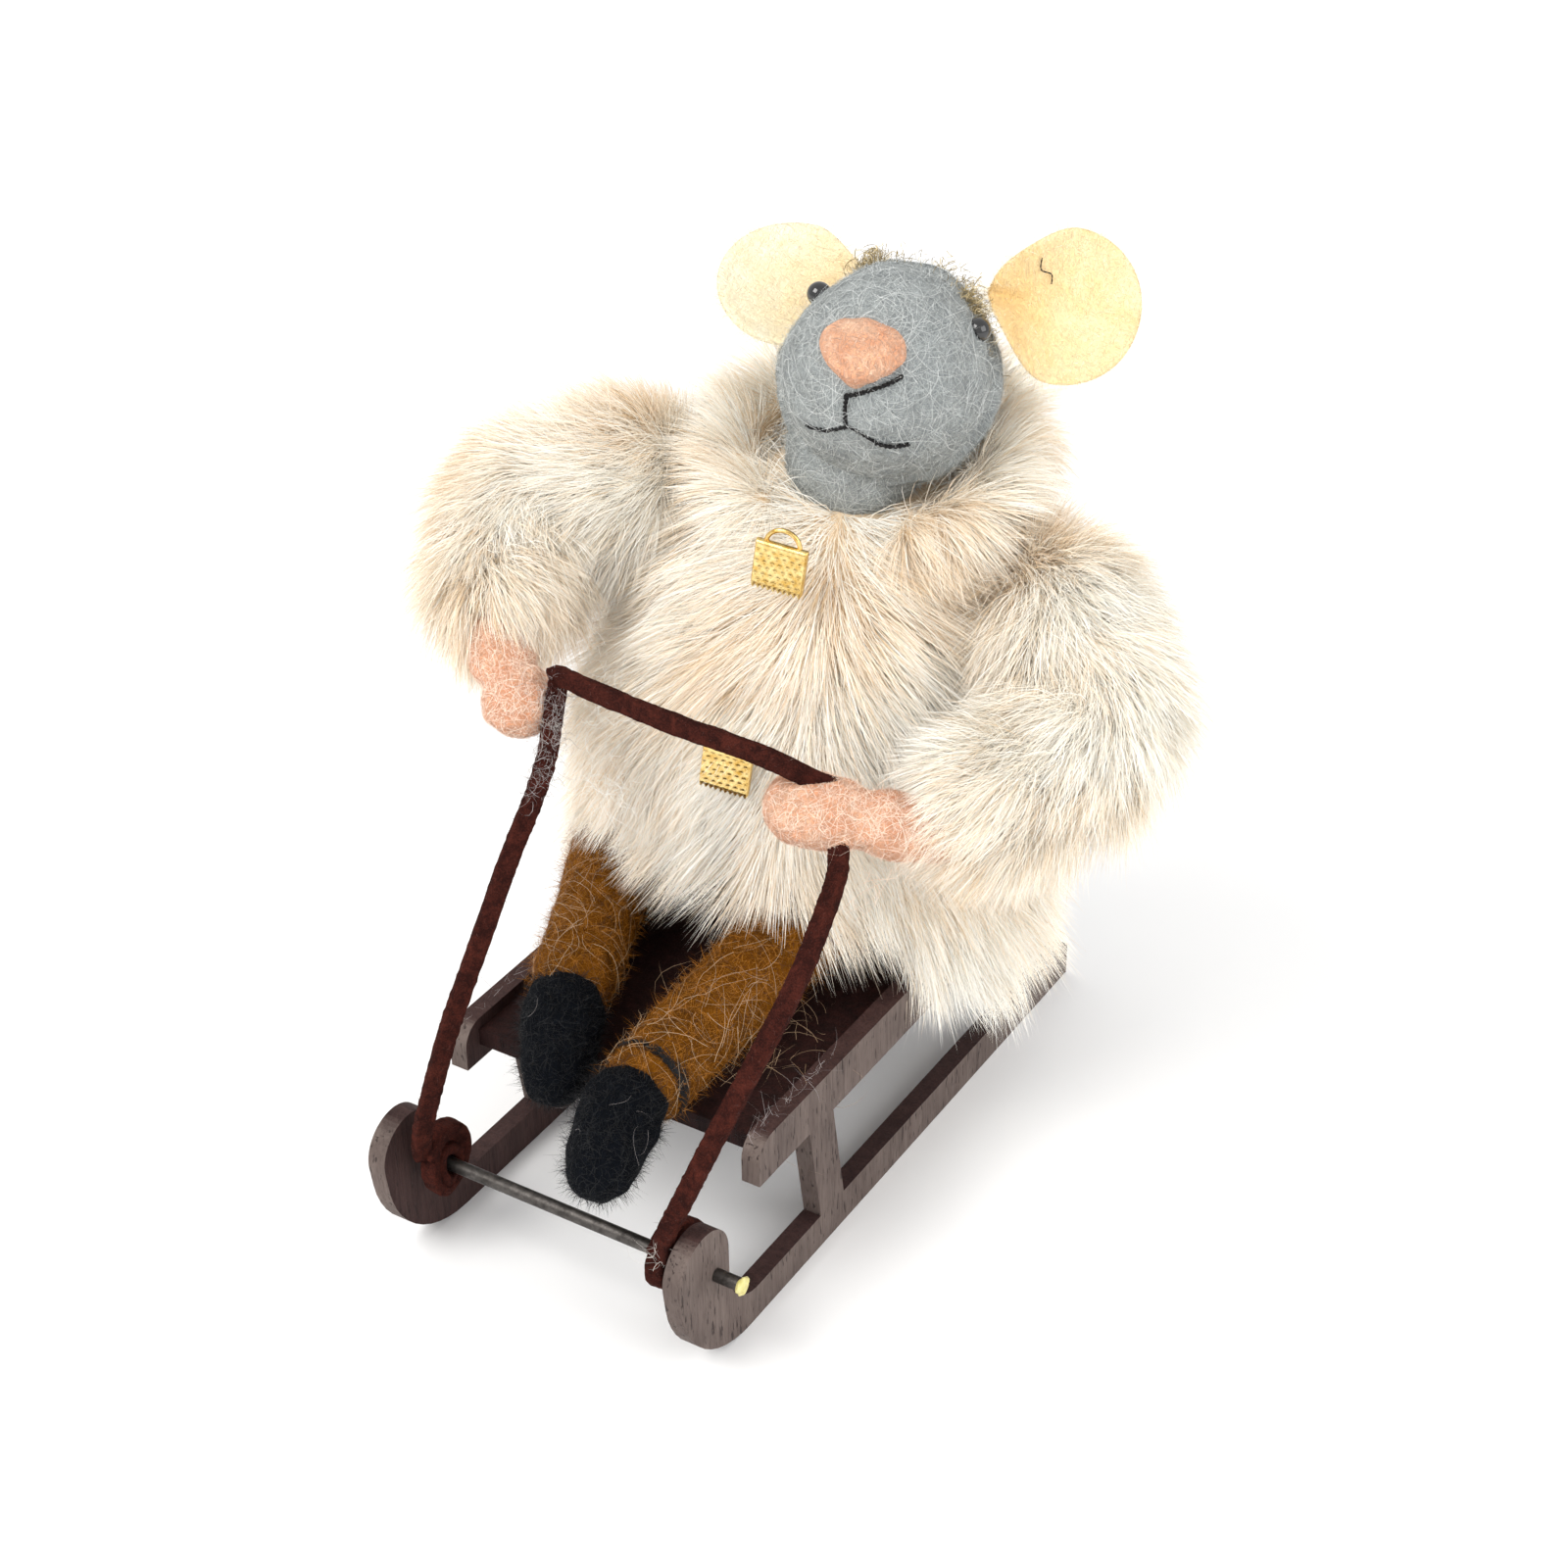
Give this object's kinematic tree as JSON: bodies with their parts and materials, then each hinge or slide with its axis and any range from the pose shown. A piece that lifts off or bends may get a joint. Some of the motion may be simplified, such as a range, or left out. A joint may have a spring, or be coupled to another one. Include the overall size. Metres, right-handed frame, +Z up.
{
  "type": "felt mouse on a sledge",
  "caption": "Seated felted-wool mouse in a fur coat, holding suede reins on a small stained-wood sledge with curled runners.",
  "frame": {"origin": "on the surface it stands on, under the middle of the box round the sledge and the mouse", "axes": "+Z up; the sledge points and the mouse faces along -Y; +X is the mouse's left"},
  "size_m": [0.1189, 0.1264, 0.1511],
  "materials": {
    "stained_wood": "satin",
    "seat_wood": "satin",
    "rod_steel": "satin",
    "glue": "gloss",
    "suede": "matt",
    "core_felt": "matt",
    "coat_fur": "matt",
    "peach_felt": "matt",
    "mustard_felt": "matt",
    "black_felt": "matt",
    "grey_felt": "matt",
    "black_bead": "gloss",
    "black_thread": "matt",
    "cream_felt": "matt",
    "beige_wool": "matt",
    "gilt": "gloss",
    "armature_wire": "satin"
  },
  "bodies": {
    "sledge": {"side_board_left": "stained_wood", "side_board_right": "stained_wood", "seat_board": "seat_wood", "batten_front": "seat_wood", "batten_rear": "seat_wood", "front_rod": "rod_steel", "rod_glue": "glue", "knot_left": "suede", "knot_right": "suede", "rein_left": "suede", "rein_right": "suede", "torso": "core_felt", "coat_body": "coat_fur", "coat_collar": "coat_fur", "shoulder_wire": "armature_wire", "neck_wire": "armature_wire", "hip_wire": "armature_wire"},
    "head": {"head": "grey_felt", "nose": "peach_felt", "eye_left": "black_bead", "eye_right": "black_bead", "mouth_thread": "black_thread", "ear_left": "cream_felt", "ear_right": "cream_felt", "hair_tuft": "beige_wool"},
    "arm_left": {"sleeve_left": "coat_fur", "hand_left": "peach_felt", "rein_cross": "suede"},
    "arm_right": {"sleeve_right": "coat_fur", "hand_right": "peach_felt"},
    "leg_left": {"leg_left": "mustard_felt", "boot_left": "black_felt"},
    "leg_right": {"leg_right": "mustard_felt", "boot_right": "black_felt"},
    "upper_clasp": {"clasp_upper": "gilt"},
    "lower_clasp": {"clasp_lower": "gilt"}
  },
  "joints": [
    {"name": "head_turn", "type": "hinge", "parent": "sledge", "child": "head", "pos_m": [0.00275, 0.02178, 0.11468], "axis": [0.1361, 0.0289, 0.9903], "range_deg": [-25, 25]},
    {"name": "arm_left_lift", "type": "hinge", "parent": "sledge", "child": "arm_left", "pos_m": [0.03024, 0.02966, 0.10208], "axis": [-0.9686, -0.2059, 0.1392], "range_deg": [-8, 8], "deforming": ["rein_left"]},
    {"name": "arm_right_lift", "type": "hinge", "parent": "sledge", "child": "arm_right", "pos_m": [-0.02788, 0.01731, 0.11044], "axis": [-0.9686, -0.2059, 0.1392], "range_deg": [-8, 8], "deforming": ["rein_right"]},
    {"name": "leg_left_lift", "type": "hinge", "parent": "sledge", "child": "leg_left", "pos_m": [0.0035, 0.0162, 0.0425], "axis": [-1, 0, 0], "range_deg": [0, 8]},
    {"name": "leg_right_lift", "type": "hinge", "parent": "sledge", "child": "leg_right", "pos_m": [-0.039, 0.0162, 0.0425], "axis": [-1, 0, 0], "range_deg": [0, 8]},
    {"name": "upper_clasp_swing", "type": "hinge", "parent": "sledge", "child": "upper_clasp", "pos_m": [0.0052, -0.00505, 0.11361], "axis": [-0.9686, -0.2059, 0.1392], "range_deg": [0, 15]},
    {"name": "lower_clasp_swing", "type": "hinge", "parent": "sledge", "child": "lower_clasp", "pos_m": [-0.00174, -0.0101, 0.07937], "axis": [-0.9686, -0.2059, 0.1392], "range_deg": [0, 15]}
  ],
  "couplings": [
    {"joint": "arm_right_lift", "follows": "arm_left_lift", "ratio": 1}
  ]
}
